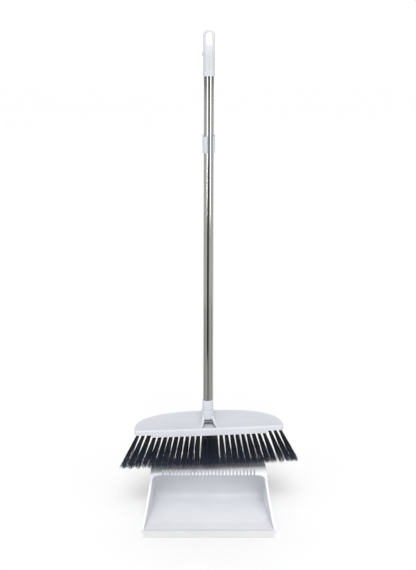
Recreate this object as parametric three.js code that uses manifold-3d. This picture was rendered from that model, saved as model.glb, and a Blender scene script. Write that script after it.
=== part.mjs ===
// An upright dust pan and brush set. The hooded pan stands flat on the floor, its steel handle is hinged
// behind it, and the long-handled broom is snapped into a C-clip at the top of that handle.
// Millimetres, +Z up. The origin is on the floor under the middle of the pan, whose mouth faces -Y.
import * as THREE from "three";
import { mergeVertices } from "three/addons/utils/BufferGeometryUtils.js";
import Module from "manifold-3d";

const wasm = await Module();
wasm.setup();

// ---- driving dimensions -------------------------------------------------------------------------
const gap = 0.3; // air left between touching pieces
const wall = 2.4; // moulded wall thickness
const roundSides = 40; // facets round a full circle

const pan = {
  lipY: -100, // front edge of the lip
  footY: -80, // where the lip strip ends and the pan's own floor begins
  footZ: 6.6, // height of the floor's front edge
  backY: 78, // outside of the back wall at the floor
  backLean: 6, // how far the back wall leans back at its top
  mouthY: 6, // top of the sloping side wall edges
  seamZ: 75.6, // where the hood sits on the walls
  topZ: 98, // top of the hood
  floor: 3,
  halfBack: 123.2, // half width at the back
  flare: 16, // extra half width at the mouth
  draft: 0.03, // side walls lean in by this much per millimetre of height
  corner: 16, // plan radius of the back corners
  rim: 5, // thickness of the side walls' front edges
  rimFoot: 2.3, // the side walls start this far above the floor's front edge
};
const comb = { teeth: 26, pitch: 7.5, slot: 3.6, rootZ: 94.8, tipZ: 86.6, cornerDrop: 10.8 };
const lip = { half: 134.6, edgeZ: 0.9, crestZ: 6.6, groove: 2, footZ: 2.5 };
const hinge = { y: 120, z: 58, pinR: 3, bossR: 11, ear: 4, halfGap: 17.3, halfPin: 23.5 };
const pole = { r: 10, wall: 0.6 };
const clip = { z: 783, height: 34, poleY: 75, broomY: 50, r: 12.5, openFrom: -11.5, openTo: 46.7 };
const handleLean = Math.atan((hinge.y - clip.poleY) / (clip.z - hinge.z));
const handleTop = (clip.z - hinge.z) / Math.cos(handleLean); // clip's middle, along the handle
const socket = { r: 13.5, bottom: 14, top: 82, bore: 24, screwZ: 46 };

const broom = { lean: THREE.MathUtils.degToRad(0.2) }; // it hangs this much off plumb in the clip
const head = {
  halfLength: 157.5,
  depth: 92,
  bottomZ: 179.2, // skirt's lower edge
  endStep: 5, // the skirt is this much shallower at both ends
  stepX: 122,
  frontZ: 194.5, // top surface at the front
  backZ: 200.5, // and at the back
  skirt: 2.5,
  cornerPower: 2.5, // roundness of the back outline
  bow: 1.8, // how far the front edge curves back at its ends
  corner: 8, // plan radius of the front corners
  pivotZ: 210,
  yaw: THREE.MathUtils.degToRad(5), // the broom is snapped into the clip turned by this much
  tilt: THREE.MathUtils.degToRad(-0.4), // it sits this much out of square on its thread
};
const neck = { r: 14, topR: 12.4, topZ: 221, bore: 9.4 };
const ferrule = { r: 11.7, bottomZ: 221.4, topZ: 242.8, tubeZ: 225.5, spigotR: 8.6, spigotZ: 198 };
const tufts = {
  rows: [-39.4, -22.6, -5.8, 11, 27.8], // each row's depth in the head
  counts: [28, 26, 26, 22, 18],
  pitch: 11.4,
  centrePitch: 8.4, // the four tufts in the middle stand closer
  skew: 0.087, // each row stands this much further to the right per millimetre of depth
  fan: -0.0008, // and is this much narrower
  rootR: 3.5,
  tipZ: 109.5,
  mergeZ: 128, // tufts run together below this height
  splay: 1.215, // how much wider a row is at its tips
  rootY: 3, // row thickness at the roots
  tipGrowth: 1.6, // and how much thicker it is at the tips
};
const grip = {
  r: 11.6,
  bottomZ: 916.4,
  topZ: 1005.5,
  bodyZ: 968, // above this the grip is a flat loop
  loopBottomZ: 975.3,
  loopTopZ: 1000.4,
  loopHalf: 6.3,
  loopDepth: 13,
  ringR: 12.1,
  ringZ: 923,
  tubeEndZ: 962,
};
const screw = { r: 1.7, headR: 3.4 };

// ---- helpers ------------------------------------------------------------------------------------
const colours = { white: 0xe6e8ee, lip: 0xdfe1e2, steel: 0xa8a8a6, bristle: 0x23262e, pin: 0xb8bbc0 };
const finishes = {
  white: new THREE.MeshStandardMaterial({ color: colours.white, roughness: 0.38, metalness: 0 }),
  lip: new THREE.MeshStandardMaterial({ color: colours.lip, roughness: 0.6, metalness: 0 }),
  steel: new THREE.MeshStandardMaterial({ color: colours.steel, roughness: 0.28, metalness: 1 }),
  bristle: new THREE.MeshStandardMaterial({ color: colours.bristle, roughness: 0.7, metalness: 0 }),
  pin: new THREE.MeshStandardMaterial({ color: colours.pin, roughness: 0.35, metalness: 1 }),
};

function solid(geometry) {
  const bare = geometry.clone();
  bare.deleteAttribute("normal");
  bare.deleteAttribute("uv");
  const merged = mergeVertices(bare, 1e-4);
  const made = new wasm.Manifold(
    new wasm.Mesh({
      numProp: 3,
      vertProperties: new Float32Array(merged.attributes.position.array),
      triVerts: new Uint32Array(merged.index.array),
    }),
  );
  if (made.volume() < 0) throw new Error("a shape is inside out");
  return made;
}

function geometryOf(manifold) {
  const mesh = manifold.getMesh();
  const geometry = new THREE.BufferGeometry();
  geometry.setAttribute("position", new THREE.BufferAttribute(new Float32Array(mesh.vertProperties), 3));
  geometry.setIndex(new THREE.BufferAttribute(new Uint32Array(mesh.triVerts), 1));
  geometry.computeVertexNormals();
  return geometry;
}

function piece(name, manifold, finish) {
  const mesh = new THREE.Mesh(geometryOf(manifold), finishes[finish]);
  mesh.name = name;
  return mesh;
}

function turned(geometry, basis) {
  return solid(geometry.applyMatrix4(basis));
}

// An outline of [x, y] points, extruded from z0 up to z1.
function prismZ(points, z0, z1) {
  const shape = new THREE.Shape(points.map(([x, y]) => new THREE.Vector2(x, y)));
  const geometry = new THREE.ExtrudeGeometry(shape, { depth: z1 - z0, bevelEnabled: false });
  return turned(geometry, new THREE.Matrix4().makeTranslation(0, 0, z0));
}

// An outline of [y, z] points, extruded from x0 to x1.
function prismX(points, x0, x1) {
  const shape = new THREE.Shape(points.map(([y, z]) => new THREE.Vector2(y, z)));
  const geometry = new THREE.ExtrudeGeometry(shape, { depth: x1 - x0, bevelEnabled: false });
  const axes = new THREE.Matrix4().set(0, 0, 1, x0, 1, 0, 0, 0, 0, 1, 0, 0, 0, 0, 0, 1);
  return turned(geometry, axes);
}

// An outline of [x, z] points, extruded from y0 to y1.
function prismY(points, y0, y1) {
  const shape = new THREE.Shape(points.map(([x, z]) => new THREE.Vector2(x, z)));
  const geometry = new THREE.ExtrudeGeometry(shape, { depth: y1 - y0, bevelEnabled: false });
  const axes = new THREE.Matrix4().set(1, 0, 0, 0, 0, 0, -1, y1, 0, 1, 0, 0, 0, 0, 0, 1);
  return turned(geometry, axes);
}

function box(x0, x1, y0, y1, z0, z1) {
  const geometry = new THREE.BoxGeometry(x1 - x0, y1 - y0, z1 - z0);
  return turned(geometry, new THREE.Matrix4().makeTranslation((x0 + x1) / 2, (y0 + y1) / 2, (z0 + z1) / 2));
}

// A profile of [radius, z] points spun round the Z axis; it starts and ends on the axis.
function spun(profile, sides = roundSides) {
  const geometry = new THREE.LatheGeometry(
    profile.map(([r, z]) => new THREE.Vector2(r, z)),
    sides,
  );
  return turned(geometry, new THREE.Matrix4().makeRotationX(Math.PI / 2));
}

function rod(r, z0, z1, sides = roundSides) {
  const profile = [
    [0, z0],
    [r, z0],
    [r, z1],
    [0, z1],
  ];
  return spun(profile, sides);
}

function rodX(r, x0, x1, y, z, sides = 28) {
  return rod(r, x0, x1, sides).rotate([0, 90, 0]).translate([0, y, z]);
}

function rodY(r, y0, y1, x, z, sides = 20) {
  return rod(r, -y1, -y0, sides).rotate([90, 0, 0]).translate([x, 0, z]);
}

function tube(rOut, rIn, z0, z1) {
  return rod(rOut, z0, z1).subtract(rod(rIn, z0 - 1, z1 + 1));
}

function along(from, to, steps, make) {
  return Array.from({ length: steps + 1 }, (_, i) => make(from + ((to - from) * i) / steps));
}

// ---- dust pan -----------------------------------------------------------------------------------
function panHalfWidth(y) {
  const share = Math.max(0, (75 - y) / 155);
  return pan.halfBack + pan.flare * share ** 1.7;
}

// The pan seen from above, its walls moved in by inset, from frontY to the back wall.
function panPlan(inset, frontY) {
  const backY = pan.backY + pan.backLean - inset;
  const r = pan.corner - inset;
  const side = along(frontY, backY - r, 14, (y) => [panHalfWidth(y) - inset, y]);
  const cornerX = panHalfWidth(backY - r) - inset - r;
  const corner = along(0, Math.PI / 2, 6, (a) => [cornerX + r * Math.cos(a), backY - r + r * Math.sin(a)]);
  const right = [...side, ...corner.slice(1)];
  return [...right, ...right.map(([x, y]) => [-x, y]).reverse()];
}

// Upright walls lean in a little towards the top, so the moulding leaves its tool.
function drafted(manifold) {
  return manifold.warp((v) => {
    v[0] *= 1 - (pan.draft * v[2]) / panHalfWidth(v[1]);
  });
}

// The hood from the mouth over the top to the back wall, moved in by inset, as [y, z] points.
function hoodCurve(inset) {
  const front = { y: 36, z: pan.topZ, ry: 26.5, rz: 15.5 };
  const backR = 15 - inset;
  const backY = pan.backY + pan.backLean - inset;
  const rise = along(Math.PI * 0.985, Math.PI / 2, 7, (a) => [
    front.y + (front.ry - inset) * Math.cos(a),
    front.z - front.rz + (front.rz - inset) * Math.sin(a),
  ]);
  const fall = along(Math.PI / 2, 0, 5, (a) => [
    backY - backR + backR * Math.cos(a),
    pan.topZ - inset - backR + backR * Math.sin(a),
  ]);
  return [...rise, ...fall];
}

function panOutside() {
  const profile = [
    [pan.footY, 0],
    [pan.footY, pan.footZ + pan.rimFoot],
    [pan.mouthY, pan.seamZ],
    ...hoodCurve(0),
    [pan.backY, 0],
  ];
  const plan = panPlan(0, pan.footY - 4);
  return drafted(prismZ(plan, 0, pan.topZ + 5)).intersect(prismX(profile, -150, 150));
}

function panInside() {
  const filletR = 17;
  const backFoot = pan.backY - wall;
  const fillet = along(-Math.PI / 2, 0, 6, (a) => [
    backFoot - filletR + filletR * Math.cos(a),
    pan.floor + filletR + filletR * Math.sin(a),
  ]);
  const profile = [
    [pan.lipY - 20, pan.footZ + 30],
    [pan.lipY - 20, pan.footZ],
    [pan.footY, pan.footZ],
    [pan.footY + 34, pan.floor],
    ...fillet,
    ...hoodCurve(wall).reverse(),
    [pan.mouthY, pan.seamZ],
  ];
  return drafted(prismZ(panPlan(wall, pan.lipY - 20), 1, pan.topZ)).intersect(prismX(profile, -150, 150));
}

// The thickened front edges of the side walls.
function mouthRims(outside) {
  const band = [
    [pan.footY - 6, pan.footZ - 2],
    [pan.mouthY - 3, pan.seamZ],
    [pan.mouthY + 5, pan.seamZ],
    [pan.footY + 6, pan.footZ - 2],
  ];
  const inner = drafted(prismZ(panPlan(pan.rim, pan.lipY - 20), -1, pan.topZ));
  return prismX(band, -150, 150).intersect(outside).subtract(inner);
}

function hingeEars() {
  const ear = [
    [pan.backY - 1, 30],
    [hinge.y - 6, hinge.z - 11],
    ...along(-Math.PI * 0.35, Math.PI * 0.5, 8, (a) => [
      hinge.y + hinge.bossR * Math.cos(a),
      hinge.z + hinge.bossR * Math.sin(a),
    ]),
    [pan.backY + 3, pan.seamZ - 3],
  ];
  const outer = hinge.halfGap + hinge.ear;
  const right = prismX(ear, hinge.halfGap, outer);
  const left = prismX(ear, -outer, -hinge.halfGap);
  const stop = box(-hinge.halfGap - 1, hinge.halfGap + 1, 99, 104.8, 58, 68);
  const stopRib = [
    [pan.backY, 52],
    [101, 58],
    [101, 64],
    [pan.backY + 2, 68],
  ];
  const rib = prismX(stopRib, -2, 2);
  return right.add(left).add(stop).add(rib);
}

function panShell() {
  const outside = panOutside();
  return outside.subtract(panInside()).add(mouthRims(outside));
}

function panBase(shell) {
  const lower = box(-160, 160, -120, 140, -5, pan.seamZ);
  const pinHole = rodX(hinge.pinR + gap, -40, 40, hinge.y, hinge.z);
  return shell.intersect(lower).add(hingeEars()).subtract(pinHole);
}

// The hood closes the back half of the pan. Slots cut into its front edge leave the teeth of the comb.
function panHood(shell) {
  const upper = box(-160, 160, -120, 140, pan.seamZ + gap, 140);
  const halfComb = (comb.teeth * comb.pitch) / 2;
  const arch = [
    ...along(0, 1, 8, (s) => [
      halfComb + comb.slot / 2 + 21 * Math.sin((s * Math.PI) / 2),
      comb.tipZ - comb.cornerDrop * s * s,
    ]),
    [halfComb + 26, 60],
  ];
  const opening = [...arch, ...arch.map(([x, z]) => [-x, z]).reverse()];
  let hood = shell.intersect(upper).subtract(prismY(opening, -60, 30));
  for (let i = 0; i <= comb.teeth; i++) {
    const x = (i - comb.teeth / 2) * comb.pitch;
    hood = hood.subtract(box(x - comb.slot / 2, x + comb.slot / 2, -20, 30, 70, comb.rootZ));
  }
  return hood;
}

// A soft wedge that rides on the floor in front of the pan's own edge, with a groove behind it.
function lipStrip() {
  const crestY = pan.footY - lip.groove;
  const backY = pan.footY - gap;
  const profile = [
    [pan.lipY, 0],
    [pan.lipY, lip.edgeZ],
    [crestY - 1, lip.crestZ],
    [crestY, lip.crestZ - gap],
    [crestY, lip.footZ],
    [backY, lip.footZ],
    [backY, 0],
  ];
  return prismX(profile, -lip.half, lip.half);
}

function hingePin() {
  const shank = rodX(hinge.pinR, -hinge.halfPin, hinge.halfPin, hinge.y, hinge.z);
  return shank.add(rodX(5.2, hinge.halfGap + hinge.ear + gap, hinge.halfPin + 1, hinge.y, hinge.z));
}

function hingePinCap() {
  const x = -(hinge.halfGap + hinge.ear + gap);
  const cap = rodX(5.6, x - 4.5, x, hinge.y, hinge.z);
  return cap.subtract(rodX(hinge.pinR + gap, -hinge.halfPin - gap, x + 1, hinge.y, hinge.z));
}

// ---- pan handle, modelled upright with the hinge at its origin ------------------------------------
function handleSocket() {
  const knuckle = prismX(
    [
      ...along(-Math.PI, 0, 12, (a) => [hinge.bossR * Math.cos(a), hinge.bossR * Math.sin(a)]),
      [hinge.bossR, socket.bottom + 4],
      [-hinge.bossR, socket.bottom + 4],
    ],
    -hinge.halfGap + gap,
    hinge.halfGap - gap,
  );
  const sleeve = spun([
    [0, socket.bottom],
    [socket.r + 1.2, socket.bottom],
    [socket.r + 1.2, socket.bottom + 5],
    [socket.r, socket.bottom + 9],
    [socket.r, socket.top - 6],
    [socket.r - 1.2, socket.top],
    [0, socket.top],
  ]);
  return knuckle
    .add(sleeve)
    .subtract(rod(pole.r + gap, socket.bore, socket.top + 1))
    .subtract(rodX(hinge.pinR + gap, -40, 40, 0, 0))
    .subtract(rodY(screw.r + gap, 0, 30, 0, socket.screwZ));
}

function crossScrew(z, headY, tipY) {
  const shank = rodY(screw.r, tipY, headY, 0, z);
  return shank.add(rodY(screw.headR, headY, headY + 2, 0, z));
}

function panPole() {
  const bottom = socket.bore + gap;
  const top = handleTop + clip.height / 2 - 3;
  return tube(pole.r, pole.r - pole.wall, bottom, top)
    .subtract(rodY(screw.r + gap, 0, 30, 0, socket.screwZ))
    .subtract(rodY(screw.r + gap, 0, 30, 0, handleTop));
}

function polePlug(z0, z1, screwZ) {
  const r = pole.r - pole.wall - gap;
  const plug = spun([
    [0, z0],
    [r - 1.5, z0],
    [r, z0 + 2],
    [r, z1 - 2],
    [r - 1.5, z1],
    [0, z1],
  ]);
  return plug.subtract(rodY(screw.r + gap, -1, 30, 0, screwZ));
}

// Around the handle's tube a closed sleeve with a cap, and in front of it a C that grips the broom.
function broomClip() {
  const bottom = handleTop - clip.height / 2;
  const top = handleTop + clip.height / 2;
  const bore = rod(pole.r + gap, bottom - 1, top - 3 + gap);
  const sleeve = rod(clip.r, bottom, top - 1).add(rod(clip.r - 1, top - 1.5, top)).subtract(bore);

  const intoHandle = (made) =>
    made
      .translate([0, -hinge.y, -hinge.z])
      .rotate([THREE.MathUtils.radToDeg(-handleLean), 0, 0]);
  const low = clip.z - clip.height / 2 + 0.4;
  const high = clip.z + clip.height / 2 - 0.4;
  const web = box(-6, 6, clip.broomY + 6, clip.poleY - 6, low, high);
  const round = rod(clip.r, low, high).translate([0, clip.broomY, 0]);
  const mouth = along(clip.openFrom, clip.openTo, 6, (deg) => {
    const a = THREE.MathUtils.degToRad(deg);
    return [30 * Math.sin(a), clip.broomY - 30 * Math.cos(a)];
  });
  const cut = prismZ([[0, clip.broomY], ...mouth], low - 1, high + 1);
  const broomBore = rod(pole.r + 0.35, low - 5, high + 5).translate([0, clip.broomY, 0]);
  const jaws = intoHandle(round.subtract(cut).add(web).subtract(broomBore));
  const grips = jaws.subtract(rod(pole.r + gap, bottom - 5, top + 5));
  return sleeve.add(grips).subtract(rodY(screw.r + gap, 0, 30, 0, handleTop));
}

// ---- broom head -----------------------------------------------------------------------------------
// The head seen from above: a slightly bowed front edge and a rounded back, moved in by inset.
function headPlan(inset) {
  const a = head.halfLength;
  const front = -head.depth / 2;
  const shoulder = front + head.bow + head.corner;
  const edge = along(0, 1, 6, (s) => [(a - head.corner) * s, front + head.bow * s * s]);
  const rounding = along(-Math.PI / 2, 0, 4, (t) => [
    a - head.corner + head.corner * Math.cos(t),
    shoulder + head.corner * Math.sin(t),
  ]);
  const back = along(0, Math.PI / 2, 18, (t) => [
    a * Math.cos(t) ** (2 / head.cornerPower),
    shoulder + (head.depth / 2 - shoulder) * Math.sin(t) ** (2 / head.cornerPower),
  ]);
  const right = [...edge.slice(0, -1), ...rounding.slice(0, -1), ...back];
  const left = right.filter(([x]) => x > 0.01).map(([x, y]) => [-x, y]);
  return insetOutline([...right, ...left.reverse()], inset);
}

// Moves each point of a counterclockwise outline inwards, square to the line between its neighbours.
function insetOutline(points, inset) {
  const count = points.length;
  return points.map(([x, y], i) => {
    const [px, py] = points[(i + count - 1) % count];
    const [nx, ny] = points[(i + 1) % count];
    const length = Math.hypot(nx - px, ny - py);
    return [x - (inset * (ny - py)) / length, y + (inset * (nx - px)) / length];
  });
}

const headZ = (z) => z - head.pivotZ;
const headSlope = (head.backZ - head.frontZ) / head.depth;

function headTop(drop) {
  const half = head.depth / 2;
  const reach = 20;
  return prismX(
    [
      [-half - reach, headZ(head.bottomZ) - 20],
      [half + reach, headZ(head.bottomZ) - 20],
      [half + reach, headZ(head.backZ) + headSlope * reach - drop],
      [-half - reach, headZ(head.frontZ) - headSlope * reach - drop],
    ],
    -200,
    200,
  );
}

// Above this the skirt and the block stop short at both ends of the head.
function endSteps(z, inset) {
  const right = box(head.stepX - inset, 200, -80, 80, headZ(z) - 30, headZ(z));
  return right.add(right.mirror([1, 0, 0]));
}

const coverScrews = [
  [-96, -14],
  [96, -14],
  [-62, 22],
  [62, 22],
];

function headCover() {
  const outer = prismZ(headPlan(0), headZ(head.bottomZ), 0).intersect(headTop(0));
  const pocket = prismZ(headPlan(head.skirt), headZ(head.bottomZ) - 5, 0).intersect(headTop(wall));
  let cover = outer.subtract(pocket);
  for (const [x, y] of coverScrews) {
    const bossTop = headZ(head.frontZ) + headSlope * (y + head.depth / 2) - 1;
    cover = cover.add(rod(4.6, headZ(189.6), bossTop, 20).translate([x, y, 0]));
  }
  const neckBody = spun([
    [0, headZ(190)],
    [neck.r + 1.4, headZ(190)],
    [neck.r + 1.4, headZ(203)],
    [neck.r, headZ(207)],
    [neck.r, headZ(216)],
    [neck.topR, headZ(neck.topZ)],
    [0, headZ(neck.topZ)],
  ]);
  cover = cover.add(neckBody).add(neckRibs()).subtract(endSteps(head.bottomZ + head.endStep, 0));
  for (const [x, y] of coverScrews)
    cover = cover.subtract(rod(screw.r + gap, headZ(180), headZ(194.2), 16).translate([x, y, 0]));
  return cover.subtract(rod(neck.bore, headZ(180), 30));
}

// Two ribs run from the neck down to the front edge, like the legs of an A.
function neckRibs() {
  const front = -head.depth / 2 + 2;
  const side = [
    [-8, headZ(194)],
    [-8, headZ(213)],
    [front, headZ(196)],
    [front, headZ(193)],
  ];
  const rib = prismX(side, -2.4, 2.4);
  const leg = rib.rotate([0, 0, 13]).translate([8, 0, 0]);
  return leg.add(leg.mirror([1, 0, 0]));
}

function tuftBlock() {
  const plan = headPlan(head.skirt + gap);
  let block = prismZ(plan, headZ(head.bottomZ + gap), headZ(189.2)).subtract(
    endSteps(head.bottomZ + head.endStep + gap, gap),
  );
  for (const [x, y] of coverScrews)
    block = block
      .subtract(rod(screw.r + gap, headZ(170), headZ(200), 16).translate([x, y, 0]))
      .subtract(rod(screw.headR + gap, headZ(170), headZ(183), 16).translate([x, y, 0]));
  return block;
}

function coverScrew([x, y]) {
  const profile = [
    [0, headZ(181)],
    [screw.headR, headZ(181)],
    [screw.headR, headZ(183 - gap)],
    [screw.r, headZ(183 - gap)],
    [screw.r, headZ(193)],
    [0, headZ(194)],
  ];
  return spun(profile, 16).translate([x, y, 0]);
}

// Where the tufts of a row stand, from left to right.
function tuftX(index) {
  const half = tufts.counts[index] / 2;
  const right = along(0, half - 1, half - 1, (i) =>
    i < 2 ? tufts.centrePitch * (i + 0.5) : tufts.centrePitch * 1.5 + tufts.pitch * (i - 1),
  );
  const depth = tufts.rows[index] - tufts.rows[0];
  const places = [...right.map((x) => -x).reverse(), ...right];
  return places.map((x) => x * (1 + tufts.fan * depth) + tufts.skew * depth);
}

// One row of tufts: each stands alone at its root and they run together towards the tips.
function bristleRow(index) {
  const places = tuftX(index);
  const onStep = (x) => Math.abs(x) - tufts.rootR > head.stepX;
  const rootZ = (x) => headZ(head.bottomZ - gap + (onStep(x) ? head.endStep : 0));
  const merge = headZ(tufts.mergeZ);
  const tip = headZ(tufts.tipZ);
  const spread = (x, z) => x * (1 + ((tufts.splay - 1) * (rootZ(x) - z)) / (rootZ(x) - tip));
  const outline = [];
  places.forEach((x, i) => {
    const between = (places[i - 1] + x) / 2;
    if (i > 0) outline.push([spread(between, merge), merge]);
    outline.push([x - tufts.rootR, rootZ(x)], [x + tufts.rootR, rootZ(x)]);
  });
  const ends = [places.at(-1) + tufts.rootR + 1.5, places[0] - tufts.rootR - 1.5];
  outline.push(...ends.map((x) => [spread(x, tip), tip]));
  const row = prismY(outline.reverse(), -tufts.rootY / 2, tufts.rootY / 2);
  const reach = headZ(head.bottomZ) - tip;
  const flared = row.warp((v) => {
    v[1] *= 1 + (tufts.tipGrowth - 1) * Math.max(0, (headZ(head.bottomZ) - v[2]) / reach);
  });
  return flared.translate([0, tufts.rows[index], 0]);
}

// ---- broom handle, with the clip's middle at its origin --------------------------------------------
const poleZ = (z) => z - clip.z;

function poleFerrule() {
  const f = ferrule;
  return spun([
    [0, poleZ(f.spigotZ)],
    [f.spigotR, poleZ(f.spigotZ)],
    [f.spigotR, poleZ(f.bottomZ)],
    [f.r, poleZ(f.bottomZ)],
    [f.r, poleZ(f.topZ - 1)],
    [f.r - 0.6, poleZ(f.topZ)],
    [pole.r + gap, poleZ(f.topZ)],
    [pole.r + gap, poleZ(f.tubeZ)],
    [0, poleZ(f.tubeZ)],
  ]);
}

function broomPole() {
  return tube(pole.r, pole.r - pole.wall, poleZ(ferrule.tubeZ + gap), poleZ(grip.tubeEndZ - gap));
}

function gripHandle() {
  const body = spun([
    [0, poleZ(grip.bottomZ)],
    [grip.ringR, poleZ(grip.bottomZ)],
    [grip.ringR, poleZ(grip.ringZ)],
    [grip.r - 0.2, poleZ(grip.ringZ + 1)],
    [grip.r, poleZ(940)],
    [grip.r, poleZ(grip.bodyZ)],
    [grip.r - 3, poleZ(grip.bodyZ + 7)],
    [0, poleZ(grip.bodyZ + 7)],
  ]);
  const arcZ = grip.topZ - grip.r;
  const loop = [
    [-grip.r, poleZ(grip.bodyZ - 6)],
    [grip.r, poleZ(grip.bodyZ - 6)],
    ...along(0, Math.PI, 16, (a) => [grip.r * Math.cos(a), poleZ(arcZ) + grip.r * Math.sin(a)]),
  ];
  const holeArcZ = grip.loopTopZ - grip.loopHalf;
  const hole = [
    [-grip.loopHalf, poleZ(grip.loopBottomZ)],
    [grip.loopHalf, poleZ(grip.loopBottomZ)],
    ...along(0, Math.PI, 12, (a) => [
      grip.loopHalf * Math.cos(a),
      poleZ(holeArcZ) + grip.loopHalf * Math.sin(a),
    ]),
  ];
  const half = grip.loopDepth / 2;
  const tab = rodY(5, -3.5, 3.5, -grip.r + 2, poleZ(959));
  return body
    .add(prismY(loop, -half, half))
    .add(tab)
    .subtract(prismY(hole, -20, 20))
    .subtract(rod(pole.r + gap, poleZ(grip.bottomZ) - 1, poleZ(grip.tubeEndZ)));
}

// ---- assembly --------------------------------------------------------------------------------------
const set = new THREE.Group();

const shell = panShell();
set.add(piece("pan_base", panBase(shell), "white"));
set.add(piece("pan_hood", panHood(shell), "white"));
set.add(piece("lip_strip", lipStrip(), "lip"));
set.add(piece("hinge_pin", hingePin(), "pin"));
set.add(piece("hinge_pin_cap", hingePinCap(), "pin"));

const handle = new THREE.Group();
handle.position.set(0, hinge.y, hinge.z);
handle.rotation.x = handleLean;
handle.add(piece("handle_socket", handleSocket(), "white"));
handle.add(piece("socket_screw", crossScrew(socket.screwZ, socket.r + 0.2, 2), "pin"));
handle.add(piece("pan_pole", panPole(), "steel"));
handle.add(piece("pan_pole_plug", polePlug(socket.bore + gap, 62, socket.screwZ), "white"));
handle.add(piece("pan_pole_top_plug", polePlug(handleTop - 18, handleTop + 12, handleTop), "white"));
handle.add(piece("broom_clip", broomClip(), "white"));
handle.add(piece("clip_screw", crossScrew(handleTop, clip.r + 0.2, 2), "pin"));
set.add(handle);

const broomHandle = new THREE.Group();
broomHandle.position.set(0, clip.broomY, clip.z);
broomHandle.rotation.y = broom.lean;
broomHandle.add(piece("pole_ferrule", poleFerrule(), "white"));
broomHandle.add(piece("broom_pole", broomPole(), "steel"));
const lowerPlug = polePlug(poleZ(ferrule.tubeZ + 1), poleZ(258), poleZ(248));
broomHandle.add(piece("broom_pole_plug", lowerPlug, "white"));
broomHandle.add(piece("grip_plug", polePlug(poleZ(932), poleZ(grip.tubeEndZ - 1), poleZ(945)), "white"));
broomHandle.add(piece("grip", gripHandle(), "white"));
set.add(broomHandle);

const broomHead = new THREE.Group();
const neckOffset = -Math.sin(broom.lean) * (clip.z - head.pivotZ);
broomHead.position.set(neckOffset, clip.broomY, head.pivotZ);
broomHead.rotation.set(0, head.tilt, head.yaw);
broomHead.add(piece("head_cover", headCover(), "white"));
broomHead.add(piece("tuft_block", tuftBlock(), "white"));
coverScrews.forEach((at, i) => broomHead.add(piece(`cover_screw_${i + 1}`, coverScrew(at), "pin")));
tufts.rows.forEach((_, i) => broomHead.add(piece(`bristle_row_${i + 1}`, bristleRow(i), "bristle")));
set.add(broomHead);

export default set;
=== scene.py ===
import math

import bmesh
import bpy
from mathutils import Matrix, Vector


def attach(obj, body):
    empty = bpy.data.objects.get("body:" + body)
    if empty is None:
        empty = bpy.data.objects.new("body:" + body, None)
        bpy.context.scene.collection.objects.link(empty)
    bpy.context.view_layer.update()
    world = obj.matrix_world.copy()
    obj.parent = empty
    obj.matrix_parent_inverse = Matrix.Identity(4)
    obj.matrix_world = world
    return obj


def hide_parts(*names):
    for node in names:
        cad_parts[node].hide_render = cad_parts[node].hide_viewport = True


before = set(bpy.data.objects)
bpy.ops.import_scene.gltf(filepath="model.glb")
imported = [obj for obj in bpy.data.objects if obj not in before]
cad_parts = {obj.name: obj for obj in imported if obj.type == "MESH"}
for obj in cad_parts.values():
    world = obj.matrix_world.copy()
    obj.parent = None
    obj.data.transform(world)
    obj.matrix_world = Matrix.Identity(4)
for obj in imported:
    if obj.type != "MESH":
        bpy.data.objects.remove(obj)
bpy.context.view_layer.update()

mm = 0.001
print("frame loaded")


# Where the parts stand: heights above the floor and angles, as the CAD model has them.
clipHeight = 783
threadHeight = 210
clipZ = clipHeight * mm
headZ = threadHeight * mm
broomY = 50 * mm
broomLean = math.radians(0.2)
headYaw = math.radians(5)
headTilt = math.radians(-0.4)
hingePlace = (0, 120 * mm, 58 * mm)
clipFromHinge = (45, 725)

poleFrame = Matrix.Translation((0, broomY, clipZ)) @ Matrix.Rotation(broomLean, 4, "Y")
headFrame = (
    Matrix.Translation((-math.sin(broomLean) * (clipZ - headZ), broomY, headZ))
    @ Matrix.Rotation(headTilt, 4, "Y")
    @ Matrix.Rotation(headYaw, 4, "Z")
)
handleLean = math.atan2(*clipFromHinge)
handleFrame = Matrix.Translation(hingePlace) @ Matrix.Rotation(handleLean, 4, "X")


def addNode(tree, kind, **settings):
    node = tree.nodes.new(kind)
    for key, value in settings.items():
        setattr(node, key, value)
    return node


def blankMaterial(name):
    material = bpy.data.materials.new(name)
    material.use_nodes = True
    tree = material.node_tree
    return material, tree, tree.nodes["Principled BSDF"]


def objectNoise(tree, scale, stretch=(1, 1, 1), detail=3.0):
    coords = addNode(tree, "ShaderNodeTexCoord")
    mapping = addNode(tree, "ShaderNodeMapping")
    mapping.inputs["Scale"].default_value = stretch
    noise = addNode(tree, "ShaderNodeTexNoise")
    noise.inputs["Scale"].default_value = scale
    noise.inputs["Detail"].default_value = detail
    tree.links.new(coords.outputs["Object"], mapping.inputs["Vector"])
    tree.links.new(mapping.outputs["Vector"], noise.inputs["Vector"])
    return noise.outputs["Fac"]


def ramp(tree, source, stops):
    node = addNode(tree, "ShaderNodeValToRGB")
    elements = node.color_ramp.elements
    while len(elements) < len(stops):
        elements.new(0.5)
    for element, (place, colour) in zip(elements, stops):
        element.position = place
        element.color = (*colour, 1)
    tree.links.new(source, node.inputs["Fac"])
    return node.outputs["Color"]


def grey(value):
    return (value, value, value)


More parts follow.
